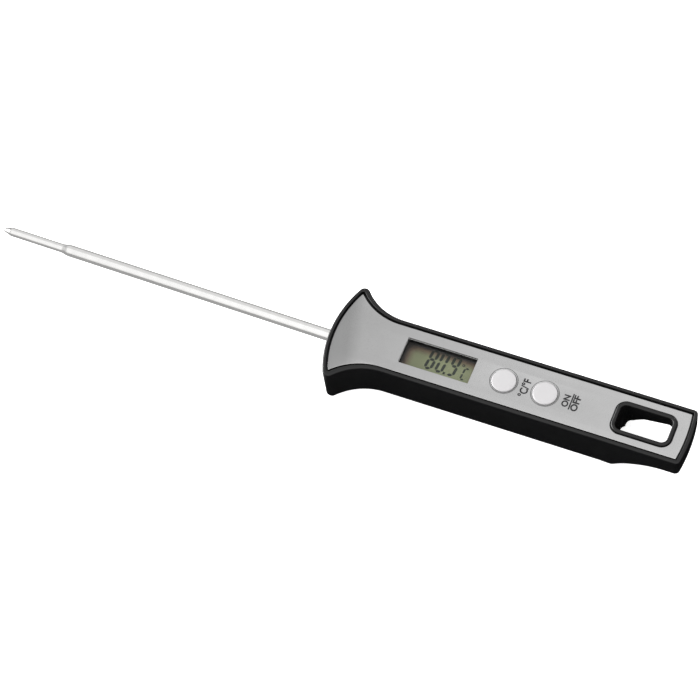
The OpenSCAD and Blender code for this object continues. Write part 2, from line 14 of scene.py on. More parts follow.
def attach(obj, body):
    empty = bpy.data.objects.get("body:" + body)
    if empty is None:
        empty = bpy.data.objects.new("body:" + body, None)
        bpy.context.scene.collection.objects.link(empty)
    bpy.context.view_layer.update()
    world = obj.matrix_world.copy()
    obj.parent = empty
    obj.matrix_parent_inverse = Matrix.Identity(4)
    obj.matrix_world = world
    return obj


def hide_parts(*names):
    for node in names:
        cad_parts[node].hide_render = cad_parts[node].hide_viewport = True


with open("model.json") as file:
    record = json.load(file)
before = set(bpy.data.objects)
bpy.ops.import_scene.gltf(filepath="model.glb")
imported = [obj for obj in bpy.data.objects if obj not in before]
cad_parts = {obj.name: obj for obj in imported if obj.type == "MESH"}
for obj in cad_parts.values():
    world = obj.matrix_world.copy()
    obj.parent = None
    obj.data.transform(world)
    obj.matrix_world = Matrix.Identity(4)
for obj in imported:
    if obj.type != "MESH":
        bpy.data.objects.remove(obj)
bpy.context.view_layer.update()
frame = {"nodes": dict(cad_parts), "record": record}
MM = 0.001

# Camera: angles in degrees, and the distance and shifts from what it is aimed at
AZIMUTH, ELEVATION, ROLL = 31.23, 59.71, 10.25
AIM, DISTANCE, SHIFT_ACROSS, SHIFT_UP = (37.75, 0, 15.85), 800, -28.63, 3.134
LENS, SENSOR = 125.5, 36

# Handle
LENGTH, DEPTH, HALF_W = 124.65, 16.0, 10.3
BOW, FLANK_R, FLANK_X, FLANK_LAG, TIP_R = 40.3, 20.0, 21.9, 0.5, 2.0
END_BOW, CORNER_R = 60.0, 1.5
FLANK_Y, END_X = HALF_W + FLANK_R, LENGTH - END_BOW
BACK_ROUND, END_ROUND, RIM_ROUND, RIM_EDGE = 2.5, 1.0, 0.6, 0.2
WALL, RIM_W, LEDGE_Z = 1.9, 1.2, 14.4
SWEEP_R, SWEEP_X, END_Z, BREAK_X, SLOPE, BREAK_SOFT = 24.0, 119.4, 8.1, 101.42, 1.131, 0.5

# Inside of the handle
WELL_X, WELL_Z, FORE_X, FORE_Z = 96.6, 2.6, 64.9, 1.8
FRONT_BOSS, REAR_BOSS_X, BOSS_R, BOSS_FOOT, BOSS_TOP = (11.5, 7.6), 93.6, 2.3, 1.7, 13
EAR, EAR_TOP = (6.8, 5.4), 9
CELL_X, CELL_SLEEVE_R, BAY_R = 83.0, 7.2, 6.1
HOLLOW_X0, HOLLOW_X1, HOLLOW_W, HOLLOW_Z, HOLLOW_R = 101.1, 121.6, 14.6, 4.1, 5.5
HOLLOW_BEND, HOLLOW_ROOF, HOLLOW_RISE = 105.9, 9.55, 0.195

# Plate, window, buttons and hanging hole
PLATE_TOP, PLATE_T, PLATE_IN = 15.5, 0.85, 1.8
WINDOW_X, WINDOW_L, WINDOW_W = 37.95, 24.7, 10.0
UNIT_X, POWER_X, BUTTON_R, DISH_R, DISH_HOLE_R = 61.0, 75.2, 4.1, 4.6, 4.25
CAP_TOP, CAP_EDGE, FLANGE_R, FLANGE_Z, FLANGE_TOP = PLATE_TOP + 0.35, 0.35, 5.5, 12.2, 12.95
HOLE_X, HOLE_L, HOLE_W, HOLE_R = 108.8, 17.5, 9.1, 2.0
COLLAR_W, COLLAR_GAP, COLLAR_TOP, COLLAR_ROUND = 1.3, 0.5, 16.2, 0.55

# Display
FILM_TOP = 11.555
DIGITS = (("8", -4.8), ("0", -1.1), ("9", 3.0))
DIGIT_Y, DIGIT_W, DIGIT_H, DIGIT_STROKE, DIGIT_SLANT = -2.35, 3.0, 7.9, 0.95, 0.1

# Probe
PROBE_Z, RISE, SHANK_R, THIN_R = 9.2, math.radians(1.6), 2.05, 1.55
TIP_S = 124.8 / math.cos(RISE) - 0.3 * math.tan(RISE)
POINT_S, THIN_S, TAPER_S = TIP_S - 4.2, TIP_S - 23.4, TIP_S - 26.8
ROOT_R, ROOT_S, BORE_R, NOSE_R = 1.75, -12.5, 1.35, 0.3

# Battery cover
COVER_X0, COVER_X1, COVER_HALF_W, TONGUE_HALF_W = 66.0, 98.5, 6.4, 7.4
COVER_LOW, COVER_HIGH, COVER_ROUND, COVER_GAP = 0.05, 1.45, 0.25, 0.15
GROOVES, GROOVE_PITCH, GROOVE_R, GROOVE_DEPTH = 6, 1.6, 0.45, 0.42

SHARP = 35.0  # edges with a larger angle in degrees stay sharp


# ---------------------------------------------------------------- node helpers


def shader(name):
    made = bpy.data.materials.new(name)
    made.use_nodes = True
    return made, made.node_tree, made.node_tree.nodes["Principled BSDF"]


def axes(tree, output):
    """The X, Y and Z parts of a texture coordinate."""
    where = tree.nodes.new("ShaderNodeTexCoord")
    split = tree.nodes.new("ShaderNodeSeparateXYZ")
    tree.links.new(where.outputs[output], split.inputs[0])
    return [split.outputs[axis] for axis in "XYZ"]


def noise(tree, scale, detail, stretch=(1, 1, 1)):
    """Noise in the object's own space; scale is in features per metre."""
    where = tree.nodes.new("ShaderNodeTexCoord")
    place = tree.nodes.new("ShaderNodeMapping")
    place.inputs["Scale"].default_value = stretch
    made = tree.nodes.new("ShaderNodeTexNoise")
    made.inputs["Scale"].default_value = scale
    made.inputs["Detail"].default_value = detail
    tree.links.new(where.outputs["Object"], place.inputs["Vector"])
    tree.links.new(place.outputs["Vector"], made.inputs["Vector"])
    return made.outputs["Fac"]


def between(tree, fac, low, high, start=0.3, end=0.7):
    """Value that runs from low to high as fac runs from start to end."""
    made = tree.nodes.new("ShaderNodeMapRange")
    made.inputs["From Min"].default_value = start
    made.inputs["From Max"].default_value = end
    made.inputs["To Min"].default_value = low
    made.inputs["To Max"].default_value = high
    tree.links.new(fac, made.inputs["Value"])
    return made.outputs["Result"]


def joined(tree, operation, first, *others):
    """Result of a maths operation on a row of sockets, taken from left to right."""
    for other in others:
        made = tree.nodes.new("ShaderNodeMath")
        made.operation = operation
        tree.links.new(first, made.inputs[0])
        tree.links.new(other, made.inputs[1])
        first = made.outputs[0]
    return first


def mixed(tree, fac, first, second, blend="MIX"):
    """Mix of two colours; each of the three values is a socket, a colour or a number."""
    mix = tree.nodes.new("ShaderNodeMix")
    mix.data_type, mix.blend_type = "RGBA", blend
    for socket, value in ((mix.inputs[0], fac), (mix.inputs[6], first), (mix.inputs[7], second)):
        if isinstance(value, bpy.types.NodeSocket):
            tree.links.new(value, socket)
        else:
            socket.default_value = (*value, 1) if isinstance(value, tuple) else value
    return mix.outputs[2]


def bumped(tree, base, height, depth_mm):
    bump = tree.nodes.new("ShaderNodeBump")
    bump.inputs["Strength"].default_value = 1.0
    bump.inputs["Distance"].default_value = depth_mm * MM
    tree.links.new(height, bump.inputs["Height"])
    tree.links.new(bump.outputs["Normal"], base.inputs["Normal"])


# ---------------------------------------------------------------- camera and studio


def make_camera():
    az, el, roll = (math.radians(a) for a in (AZIMUTH, ELEVATION, ROLL))
    back = Vector((math.sin(az) * math.cos(el), -math.cos(az) * math.cos(el), math.sin(el)))
    right = Vector((math.cos(az), math.sin(az), 0))
    up = back.cross(right)
    across = math.cos(roll) * right - math.sin(roll) * up
    above = math.sin(roll) * right + math.cos(roll) * up
    place = Vector(AIM) + DISTANCE * back + SHIFT_ACROSS * across + SHIFT_UP * above
    data = bpy.data.cameras.new("camera")
    data.lens, data.sensor_width = LENS, SENSOR
    data.clip_start, data.clip_end = 0.01, 20
    camera = bpy.data.objects.new("camera", data)
    turn = Matrix((across, above, back)).transposed()
    camera.matrix_world = Matrix.Translation(place * MM) @ turn.to_4x4()
    bpy.context.scene.collection.objects.link(camera)
    bpy.context.scene.camera = camera


def make_world():
    """Light tent: brighter in front and overhead, brightest at the left, dark below the horizon."""
    world = bpy.data.worlds.new("studio")
    bpy.context.scene.world = world
    world.use_nodes = True
    tree = world.node_tree
    x, y, z = axes(tree, "Generated")
    roof = joined(tree, "MULTIPLY",
                  between(tree, x, 1.0, 1.2, -0.3, -0.1),
                  between(tree, y, 0.9, 1.25, 0.38, 0.05),
                  between(tree, z, 0.68, 1.0, 0.0, 0.5),
                  between(tree, x, 0.55, 1.0, -0.66, -0.56))
    tent = joined(tree, "ADD", roof, between(tree, x, 14.0, 0.0, -0.95, -0.78))
    horizon = between(tree, z, 0.0, 1.0, -0.03, 0.05)
    shade = tree.nodes["Background"]
    tree.links.new(joined(tree, "MULTIPLY", tent, horizon), shade.inputs["Strength"])
    shade.inputs["Color"].default_value = (1, 1, 1, 1)


def make_sheet(name, x0, x1, y0, y1, z, white, glow):
    """Level white sheet in millimetres; with a glow, shadows on it are faint."""
    mesh = bpy.data.meshes.new(name)
    corners = [(x * MM, y * MM, z * MM) for x, y in ((x0, y0), (x1, y0), (x1, y1), (x0, y1))]
    mesh.from_pydata(corners, [], [(0, 1, 2, 3)])
    sheet = bpy.data.objects.new(name, mesh)
    paper, _, base = shader(name + "_paper")
    base.inputs["Base Color"].default_value = (white, white, white, 1)
    base.inputs["Roughness"].default_value = 0.9
    base.inputs["Specular IOR Level"].default_value = 0.1
    base.inputs["Emission Color"].default_value = (1, 1, 1, 1)
    base.inputs["Emission Strength"].default_value = glow
    mesh.materials.append(paper)
    bpy.context.scene.collection.objects.link(sheet)
    return sheet


def make_studio():
    """The floor, and a card that shows only as a reflection in the underside of the probe."""
    bpy.context.scene.view_settings.view_transform = "Standard"
    make_world()
    floor = make_sheet("floor", -3000, 3000, -3000, 3000, -0.1, 0.9, 0.75)
    floor.visible_glossy = False
    card = make_sheet("bounce_card", -400, -4, -300, 300, -1.0, 0.6, 0)
    card.visible_camera = card.visible_diffuse = card.visible_shadow = False


# ---------------------------------------------------------------- materials


def plain(name, colour, rough, metal=0.0, spec=0.5, grain=3000, depth=0.004, vary=0.12, alpha=1.0,
          coat=0.0, stretch=(1, 1, 1)):
    """Solid material with grain, uneven gloss and slight variation of its colour."""
    made, tree, base = shader(name)
    fine = noise(tree, grain, 3, stretch)
    broad = noise(tree, grain / 25, 2)
    dark = tuple(c * (1 - vary) for c in colour)
    light = tuple(min(1, c * (1 + vary)) for c in colour)
    tree.links.new(mixed(tree, between(tree, broad, 0, 1), dark, light), base.inputs["Base Color"])
    tree.links.new(between(tree, fine, rough * 0.85, min(1, rough * 1.15)), base.inputs["Roughness"])
    base.inputs["Metallic"].default_value = metal
    base.inputs["Specular IOR Level"].default_value = spec
    base.inputs["Alpha"].default_value = alpha
    base.inputs["Coat Weight"].default_value = coat
    bumped(tree, base, fine, depth)
    return made


def make_display_film():
    """Olive film with painted shade of the window's walls: it turns dark brown towards the edges of what
    the window shows.
    """
    made, tree, base = shader("display_film")
    x, y, _ = axes(tree, "Object")
    # Mask that is 1 in the window's open middle and falls to 0 by its far, left and right walls, where
    # shade is painted
    unshaded_part = joined(tree, "MULTIPLY", *[
        between(tree, along, 0, 1, start * MM, end * MM)
        for along, start, end in ((y, 5.2, 1.9), (x, WINDOW_X - 12.4, WINDOW_X - 8.6),
                                  (x, WINDOW_X + 12.8, WINDOW_X + 10.6))])
    # Painted shade of the walls: dark brown nearest them, lighter brown further in, then the film's own
    # olive
    painted_shade_brown = mixed(tree, between(tree, unshaded_part, 0, 1, 0.05, 0.4), (0.035, 0.03, 0.027), (0.14, 0.1, 0.065))
    film_with_painted_shade = mixed(tree, between(tree, unshaded_part, 0, 1, 0.35, 0.95), painted_shade_brown, (0.19, 0.21, 0.11))
    tree.links.new(film_with_painted_shade, base.inputs["Base Color"])
    tree.links.new(between(tree, noise(tree, 6000, 4), 0.32, 0.42), base.inputs["Roughness"])
    bumped(tree, base, noise(tree, 9000, 2), 0.001)
    return made


MATERIALS = {
    "black_plastic": plain("black_plastic", (0.0035, 0.0035, 0.0037), 0.4, spec=0.35, grain=5000,
                           depth=0.003),
    "silver_plate": plain("silver_plate", (0.47, 0.47, 0.47), 0.3, metal=1.0, grain=9000, depth=0.001,
                          vary=0.015),
    "adhesive_tape": plain("adhesive_tape", (0.75, 0.74, 0.68), 0.7),
    "inner_plastic": plain("inner_plastic", (0.005, 0.005, 0.0055), 0.5, spec=0.3, grain=4000),
    "clear_lens": plain("clear_lens", (0.5, 0.53, 0.52), 0.06, spec=0.2, alpha=0.04, depth=0.0005,
                        vary=0.01),
    "lcd_film": make_display_film(),
    "lcd_glass": plain("lcd_glass", (0.35, 0.4, 0.3), 0.1, alpha=0.6, depth=0.0005, vary=0.02),
    "lcd_backing": plain("lcd_backing", (0.24, 0.26, 0.14), 0.5),
    "zebra_rubber": plain("zebra_rubber", (0.06, 0.06, 0.065), 0.7),
    "board_green": plain("board_green", (0.015, 0.11, 0.035), 0.3, coat=0.4, grain=2500),
    "black_epoxy": plain("black_epoxy", (0.01, 0.01, 0.01), 0.22, grain=900, depth=0.02),
    "resistor_black": plain("resistor_black", (0.02, 0.02, 0.022), 0.45),
    "capacitor_brown": plain("capacitor_brown", (0.35, 0.23, 0.12), 0.4),
    "tinned_metal": plain("tinned_metal", (0.62, 0.62, 0.64), 0.3, metal=1.0),
    "switch_plastic": plain("switch_plastic", (0.022, 0.022, 0.024), 0.5),
    "plunger_plastic": plain("plunger_plastic", (0.55, 0.48, 0.34), 0.45),
    "button_white": plain("button_white", (0.47, 0.462, 0.468), 0.38, grain=4000, depth=0.0015, vary=0.015),
    "polished_steel": plain("polished_steel", (0.75, 0.745, 0.735), 0.16, metal=1.0, grain=9000,
                            depth=0.0006, vary=0.03, stretch=(0.05, 1, 1)),
    "seal_rubber": plain("seal_rubber", (0.1, 0.02, 0.015), 0.6),
    "ferrule_brass": plain("ferrule_brass", (0.6, 0.43, 0.16), 0.28, metal=1.0),
    "zinc_steel": plain("zinc_steel", (0.5, 0.5, 0.52), 0.35, metal=1.0),
    "bead_epoxy": plain("bead_epoxy", (0.06, 0.02, 0.015), 0.25),
    "potting_compound": plain("potting_compound", (0.6, 0.6, 0.55), 0.7),
    "lead_enamel": plain("lead_enamel", (0.65, 0.5, 0.06), 0.35),
    "cell_steel": plain("cell_steel", (0.62, 0.62, 0.64), 0.28, metal=1.0, grain=2500, stretch=(0.1, 1, 1)),
    "contact_gilt": plain("contact_gilt", (0.7, 0.55, 0.25), 0.3, metal=1.0),
}


def paint_plate_reflection_falloff():
    """Painted reflection: the plate's tone is painted slightly darker towards the guard, with a soft
    slanting edge across it, standing in for the dimmer edge of the light it reflects.
    """
    tree = MATERIALS["silver_plate"].node_tree
    base = tree.nodes["Principled BSDF"]
    tone = base.inputs["Base Color"].links[0].from_socket
    x, y, _ = axes(tree, "Object")
    falloff_slant_line = tree.nodes.new("ShaderNodeMath")
    falloff_slant_line.operation = "MULTIPLY_ADD"
    falloff_slant_line.inputs[1].default_value = 0.3
    tree.links.new(y, falloff_slant_line.inputs[0])
    tree.links.new(x, falloff_slant_line.inputs[2])
    # Painted reflection falloff: darker past the slanting line and towards the guard
    painted_reflection_falloff = joined(tree, "MULTIPLY", between(tree, falloff_slant_line.outputs[0], 0.78, 1.0, 0.006, 0.011),
                  between(tree, x, 0.87, 1.02, 0.008, 0.05))
    tree.links.new(mixed(tree, 1, tone, painted_reflection_falloff, "MULTIPLY"), base.inputs["Base Color"])


paint_plate_reflection_falloff()
# Lighter, glossier copy of the plate's metal, used as a painted highlight on the plate's upward bevels
PLATE_EDGE_PAINTED_HIGHLIGHT = plain("plate_edge_painted_highlight", (0.82, 0.82, 0.82), 0.16, metal=1.0, grain=9000, depth=0.0005, vary=0.01)
INK = plain("ink", (0.012, 0.012, 0.013), 0.5, spec=0.3, grain=6000, depth=0.001)
SEGMENT = plain("segment", (0.018, 0.022, 0.015), 0.45, spec=0.2, grain=6000, depth=0.0005)


# ---------------------------------------------------------------- plan shapes


def arc(centre, radius, start, end, steps):
    """Points along an arc, both ends included; angles in radians."""
    angles = [start + (end - start) * i / steps for i in range(steps + 1)]
    return [(centre[0] + radius * math.cos(a), centre[1] + radius * math.sin(a)) for a in angles]


def half_plan(g):
    """Upper half of the handle's plan grown by g, from the guard's crown to the hanging end."""
    r = max(TIP_R + g, 0.3)
    flank_x = FLANK_X + FLANK_LAG * g
    a, b = BOW + g - r, FLANK_R - g + r
    l = math.hypot(flank_x - BOW, FLANK_Y)
    lean = math.atan2(FLANK_Y, flank_x - BOW) + math.acos((a * a + l * l - b * b) / (2 * a * l))
    tip = (BOW + a * math.cos(lean), a * math.sin(lean))
    phi = math.atan2(FLANK_Y - tip[1], flank_x - tip[0])
    c = max(CORNER_R + g, 0.3)
    corner_y = HALF_W + g - c
    corner = (END_X + math.sqrt((END_BOW + g - c) ** 2 - corner_y**2), corner_y)
    psi = math.atan2(corner[1], corner[0] - END_X)
    stops = [(flank_x, 10), (97, 24), (105, 24), (SWEEP_X, 4), (corner[0], 0)]
    straight = []
    for (x0, steps), (x1, _) in zip(stops, stops[1:]):
        straight += [(x0 + (x1 - x0) * i / steps, HALF_W + g) for i in range(steps)]
    return (arc((BOW, 0), BOW + g, math.pi, lean, 24)[:-1]
            + arc(tip, r, lean, phi, 10)[:-1]
            + arc((flank_x, FLANK_Y), FLANK_R - g, phi + math.pi, 1.5 * math.pi, 32)[:-1]
            + straight
            + arc(corner, c, math.pi / 2, psi, 6)[:-1]
            + arc((END_X, 0), END_BOW + g, psi, 0, 10))


def half_rectangle(x0, x1, half_w, r=0.0, steps=1, around=8):
    """Upper half of a rectangle from x0 to x1, with rounded corners and a stepped long side."""
    left = arc((x0 + r, half_w - r), r, math.pi, math.pi / 2, around) if r else [(x0, half_w)]
    right = arc((x1 - r, half_w - r), r, math.pi / 2, 0, around) if r else [(x1, half_w)]
    run = [(x0 + r + (x1 - x0 - 2 * r) * i / steps, half_w) for i in range(1, steps)]
    return [(x0, 0)] + left + run + right + [(x1, 0)]


def half_circle(x, r):
    return arc((x, 0), r, math.pi, 0, 48)


def round_hole(grow, steps=4):
    """Upper half of the hanging hole's plan, grown on all sides."""
    return half_rectangle(HOLE_X - HOLE_L / 2 - grow, HOLE_X + HOLE_L / 2 + grow,
                          HOLE_W / 2 + grow, HOLE_R + grow, steps, 12)


def cut_plan(g, end_x):
    """Upper half of the handle's plan grown by g, cut off square at end_x."""
    kept = [point for point in half_plan(g) if point[0] < end_x]
    return kept + [(end_x, kept[-1][1]), (end_x, 0)]


def quarter(centre_g, centre_z, r, start, end, steps):
    """Arc of an edge's section, as pairs of growth and height; angles in degrees."""
    return arc((centre_g, centre_z), r, math.radians(start), math.radians(end), steps)


def back_height(x):
    """Height of the handle's back, with its sweep up to the hanging end."""
    if x >= SWEEP_X:
        return END_Z
    centre_z = END_Z - SWEEP_R
    if x > BREAK_X:
        rise = centre_z + math.sqrt(SWEEP_R**2 - (x - SWEEP_X) ** 2)
    else:
        rise = centre_z + math.sqrt(SWEEP_R**2 - (BREAK_X - SWEEP_X) ** 2) + SLOPE * (x - BREAK_X)
    return (rise + math.sqrt(rise * rise + BREAK_SOFT**2)) / 2


def hollow_height(x):
    """Height of the roof of the hollow round the hanging hole."""
    if x < HOLLOW_BEND:
        return HOLLOW_Z + math.sqrt(max(0, HOLLOW_R**2 - (x - HOLLOW_X0 - HOLLOW_R) ** 2))
    return HOLLOW_ROOF + (x - HOLLOW_BEND) * HOLLOW_RISE


def whole(half):
    """Closed loop from its upper half."""
    return half + [(x, -y) for x, y in reversed(half[1:-1])]


def raised(half, z):
    """Closed loop of points at one height from its upper half."""
    return [(x, y, z) for x, y in whole(half)]


# ---------------------------------------------------------------- meshes


def smoothed(mesh, angle=SHARP):
    mesh.shade_smooth()
    mesh.set_sharp_from_angle(angle=math.radians(angle))


def finished(name, build, angle=SHARP):
    """Object from a bmesh in millimetres, smooth except across edges sharper than the angle."""
    bmesh.ops.remove_doubles(build, verts=build.verts, dist=1e-5)
    bmesh.ops.recalc_face_normals(build, faces=build.faces)
    mesh = bpy.data.meshes.new(name)
    build.to_mesh(mesh)
    build.free()
    mesh.transform(Matrix.Scale(MM, 4))
    smoothed(mesh, angle)
    made = bpy.data.objects.new(name, mesh)
    bpy.context.scene.collection.objects.link(made)
    return made


def bridge(build, ring):
    """Cap of strips across a loop whose second half mirrors its first."""
    n = len(ring)
    for i in range(n // 2):
        quad = [ring[i], ring[i + 1], ring[(n - i - 1) % n], ring[(n - i) % n]]
        corners = [v for k, v in enumerate(quad) if v not in quad[:k]]
        if len(corners) > 2:
            build.faces.new(corners)


def lofted(rings):
    """Closed bmesh through rings of (x, y, z) points of equal count, mirrored about y = 0."""
    build = bmesh.new()
    loops = [[build.verts.new(point) for point in ring] for ring in rings]
    for low, high in zip(loops, loops[1:]):
        for i in range(len(low)):
            j = (i + 1) % len(low)
            build.faces.new((low[i], low[j], high[j], high[i]))
    bridge(build, loops[0])
    bridge(build, loops[-1])
    return build


def slab(name, half, low, high):
    """Closed solid over a symmetric plan; low and high are heights or functions of x."""
    low_at = low if callable(low) else lambda x: low
    high_at = high if callable(high) else lambda x: high
    loop = whole(half)
    return finished(name, lofted([[(x, y, low_at(x)) for x, y in loop],
                                  [(x, y, high_at(x)) for x, y in loop]]))


def turned(profile, steps, place):
    """bmesh of a closed (radius, height) profile turned about +Z and then put in its place."""
    build = bmesh.new()
    rings = []
    for r, z in profile:
        if r < 1e-9:
            rings.append([build.verts.new(place @ Vector((0, 0, z)))])
        else:
            turns = [2 * math.pi * i / steps for i in range(steps)]
            rings.append([build.verts.new(place @ Vector((r * math.cos(a), r * math.sin(a), z)))
                          for a in turns])
    for low, high in zip(rings, rings[1:] + rings[:1]):
        if len(low) == len(high) == 1:
            continue
        for i in range(steps):
            j = (i + 1) % steps
            corners = [low[i % len(low)], low[j % len(low)], high[j % len(high)], high[i % len(high)]]
            build.faces.new([v for k, v in enumerate(corners) if v not in corners[:k]])
    return build


def at(x, y=0):
    return Matrix.Translation((x, y, 0))


def cylinder(name, place, r, low, high, steps=48):
    return finished(name, turned([(0, low), (r, low), (r, high), (0, high)], steps, place))


def combine(target, others, operation):
    """Applies a boolean with each of the others, which are then removed."""
    for other in others:
        step = target.modifiers.new("step", "BOOLEAN")
        step.operation = operation
        step.solver = "MANIFOLD"
        step.object = other
        graph = bpy.context.evaluated_depsgraph_get()
        mesh = bpy.data.meshes.new_from_object(target.evaluated_get(graph))
        target.modifiers.clear()
        target.data = mesh
        bpy.data.objects.remove(other)
    smoothed(target.data)


def drawn(data, place):
    """bmesh of a filled curve or a text, put in its place."""
    drawing = bpy.data.objects.new(data.name + "_line", data)
    bpy.context.scene.collection.objects.link(drawing)
    graph = bpy.context.evaluated_depsgraph_get()
    mesh = bpy.data.meshes.new_from_object(drawing.evaluated_get(graph))
    bpy.data.objects.remove(drawing)
    build = bmesh.new()
    build.from_mesh(mesh)
    bmesh.ops.transform(build, verts=build.verts, matrix=place)
    return build


def dressed(piece, slot, body="handle", nodes=(), look=None):
    """Gives a piece its slot's material or another look, its body and the nodes that it stands for."""
    piece.data.materials.clear()
    piece.data.materials.append(look or MATERIALS[slot])
    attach(piece, body)
    if nodes:
        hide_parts(*nodes)


# ---------------------------------------------------------------- housing

ALONG_PROBE = Matrix.Translation((0, 0, PROBE_Z)) @ Matrix.Rotation(RISE - math.pi / 2, 4, "Y")


def housing_skin():
    """Outside of the handle, from its rounded and swept back over the rim to the plate's ledge."""
    outer, inner = whole(half_plan(0)), whole(half_plan(-BACK_ROUND))
    rings = []
    for g, z in quarter(-BACK_ROUND, BACK_ROUND, BACK_ROUND, -90, 0, 10):
        ring = []
        for (x0, y0), (x1, y1) in zip(outer, inner):
            # The edge's radius shrinks from BACK_ROUND to END_ROUND along the sweep
            scale = 1 + (END_ROUND / BACK_ROUND - 1) * min(1, max(0, (x0 - 97) / 12))
            t = -g / BACK_ROUND * scale
            x = x0 + (x1 - x0) * t
            ring.append((x, y0 + (y1 - y0) * t, back_height(x) + z * scale))
        rings.append(ring)
    rim = quarter(-RIM_ROUND, DEPTH - RIM_ROUND, RIM_ROUND, 0, 90, 8)
    rim += quarter(-RIM_W + RIM_EDGE, DEPTH - RIM_EDGE, RIM_EDGE, 90, 180, 4)
    rim.append((-RIM_W, LEDGE_Z))
    rings += [raised(half_plan(g), z) for g, z in rim]
    return finished("housing_shell", lofted(rings))


def collar_ridge():
    """Raised collar round the hanging hole, rounded along its outer edge."""
    rings = [raised(round_hole(COLLAR_W), LEDGE_Z - 0.5)]
    for inset, z in quarter(COLLAR_ROUND, COLLAR_TOP - COLLAR_ROUND, COLLAR_ROUND, 180, 90, 6):
        rings.append(raised(round_hole(COLLAR_W - inset), z))
    return finished("ridge", lofted(rings))


def hole_cutter():
    """The hanging hole, which widens at the top into the collar's rounded inner edge."""
    rings = [raised(round_hole(0), -2)]
    for x, z in quarter(0, 0, COLLAR_ROUND, 0, 84, 6):
        rings.append(raised(round_hole(COLLAR_ROUND - x), COLLAR_TOP - COLLAR_ROUND + z))
    rings.append(raised(round_hole(0.7), 18))
    return finished("hole", lofted(rings))


def channel(name, x0, half_w, low, high):
    """Part of the battery cover's channel, open at the hanging end."""
    return slab(name, half_rectangle(x0, 126, half_w), low, high)


def make_housing():
    both_sides = [(at(FRONT_BOSS[0], side * FRONT_BOSS[1]), at(EAR[0], side * EAR[1])) for side in (-1, 1)]
    shell = housing_skin()
    combine(shell, [slab("well", cut_plan(-WALL, WELL_X), WELL_Z, DEPTH - 1),
                    slab("fore", cut_plan(-WALL, FORE_X), FORE_Z, 6)], "DIFFERENCE")

    added = [collar_ridge(),
             cylinder("sleeve", at(CELL_X), CELL_SLEEVE_R, 2.2, 6.6, 96),
             cylinder("rear", at(REAR_BOSS_X), BOSS_R, 2.4, BOSS_TOP)]
    for boss, ear in both_sides:
        added.append(cylinder("front", boss, BOSS_R, BOSS_FOOT, BOSS_TOP))
        added.append(cylinder("ear", ear, 2.0, BOSS_FOOT, EAR_TOP))
    added.append(slab("seat", half_rectangle(1.4, 13.4, 4.2), BOSS_FOOT, EAR_TOP))
    combine(shell, added, "UNION")

    cover_x = COVER_X0 - COVER_GAP
    cover_w, tongue_w = COVER_HALF_W + COVER_GAP, TONGUE_HALF_W + COVER_GAP
    removed = [hole_cutter(),
               slab("hollow", half_rectangle(HOLLOW_X0, HOLLOW_X1, HOLLOW_W / 2, 2, 40), -2, hollow_height),
               channel("channel", cover_x, cover_w, -2, 1.55),
               channel("undercut", cover_x, tongue_w, 0.78, 1.55),
               channel("mouth", COVER_X1 + COVER_GAP, tongue_w - 0.01, -2, 1.5),
               slab("bay", half_circle(CELL_X, BAY_R), -2, 12),
               slab("slot", half_rectangle(73, CELL_X, 2.2), 2.6, 12),
               cylinder("rear_pilot", at(REAR_BOSS_X), 1.02, 7, 14, 32),
               cylinder("bore", ALONG_PROBE, 2.1, -2.4, 4, 64),
               cylinder("root_channel", ALONG_PROBE, 2.05, -20, 0),
               cylinder("cradle", ALONG_PROBE, 2.92, -10.45, -3.25, 64),
               cylinder("seal_seat", ALONG_PROBE, 3.45, -3.25, -1.45, 64)]
    for boss, ear in both_sides:
        removed.append(cylinder("pilot", boss, 1.02, 6, 14, 32))
        removed.append(cylinder("ear_pilot", ear, 0.92, 3.5, 10, 32))
    combine(shell, removed, "DIFFERENCE")
    dressed(shell, "black_plastic", nodes=["housing"])


# ---------------------------------------------------------------- plate and lettering


def filled(name, loops, top, thickness, bevel=0.0):
    """Flat piece with holes; the first loop is its outline, and its edges are rounded by bevel."""
    data = bpy.data.curves.new(name, "CURVE")
    data.dimensions, data.fill_mode = "2D", "BOTH"
    for loop in loops:
        line = data.splines.new("POLY")
        line.points.add(len(loop) - 1)
        for point, (x, y) in zip(line.points, loop):
            point.co = (x, y, 0, 1)
        line.use_cyclic_u = True
    data.extrude = thickness / 2 - bevel
    data.bevel_depth, data.bevel_resolution, data.offset = bevel, 3, -bevel
    return finished(name, drawn(data, Matrix.Translation((0, 0, top - thickness / 2))), 50)


def make_plate():
    """Silver plate; its upward bevels are painted bright as a highlight, and its edges that face sideways
    or down, or lie by a button, are painted black as shade.
    """
    window = half_rectangle(WINDOW_X - WINDOW_L / 2, WINDOW_X + WINDOW_L / 2, WINDOW_W / 2, 0.25, 1, 4)
    halves = [half_plan(-PLATE_IN), window, half_circle(UNIT_X, DISH_R + 0.1),
              half_circle(POWER_X, DISH_R + 0.1), round_hole(COLLAR_W + COLLAR_GAP, 1)]
    plate = filled("silver_plate", [whole(half) for half in halves], PLATE_TOP, PLATE_T, 0.08)
    dressed(plate, "silver_plate", nodes=["faceplate"])
    plate.data.materials.append(PLATE_EDGE_PAINTED_HIGHLIGHT)
    plate.data.materials.append(MATERIALS["black_plastic"])
    # Painted light on the edges: faces tilted upwards take the lighter copy of the metal as a painted
    # highlight; faces that point sideways or down, and all edges by a button, take black plastic as painted
    # shade
    for face in plate.data.polygons:
        x, y, _ = face.center / MM
        by_button = min(math.hypot(x - UNIT_X, y), math.hypot(x - POWER_X, y)) < DISH_R + 1
        if abs(face.normal.z) < 0.98:
            face.material_index = 1 if face.normal.z > 0.2 and not by_button else 2


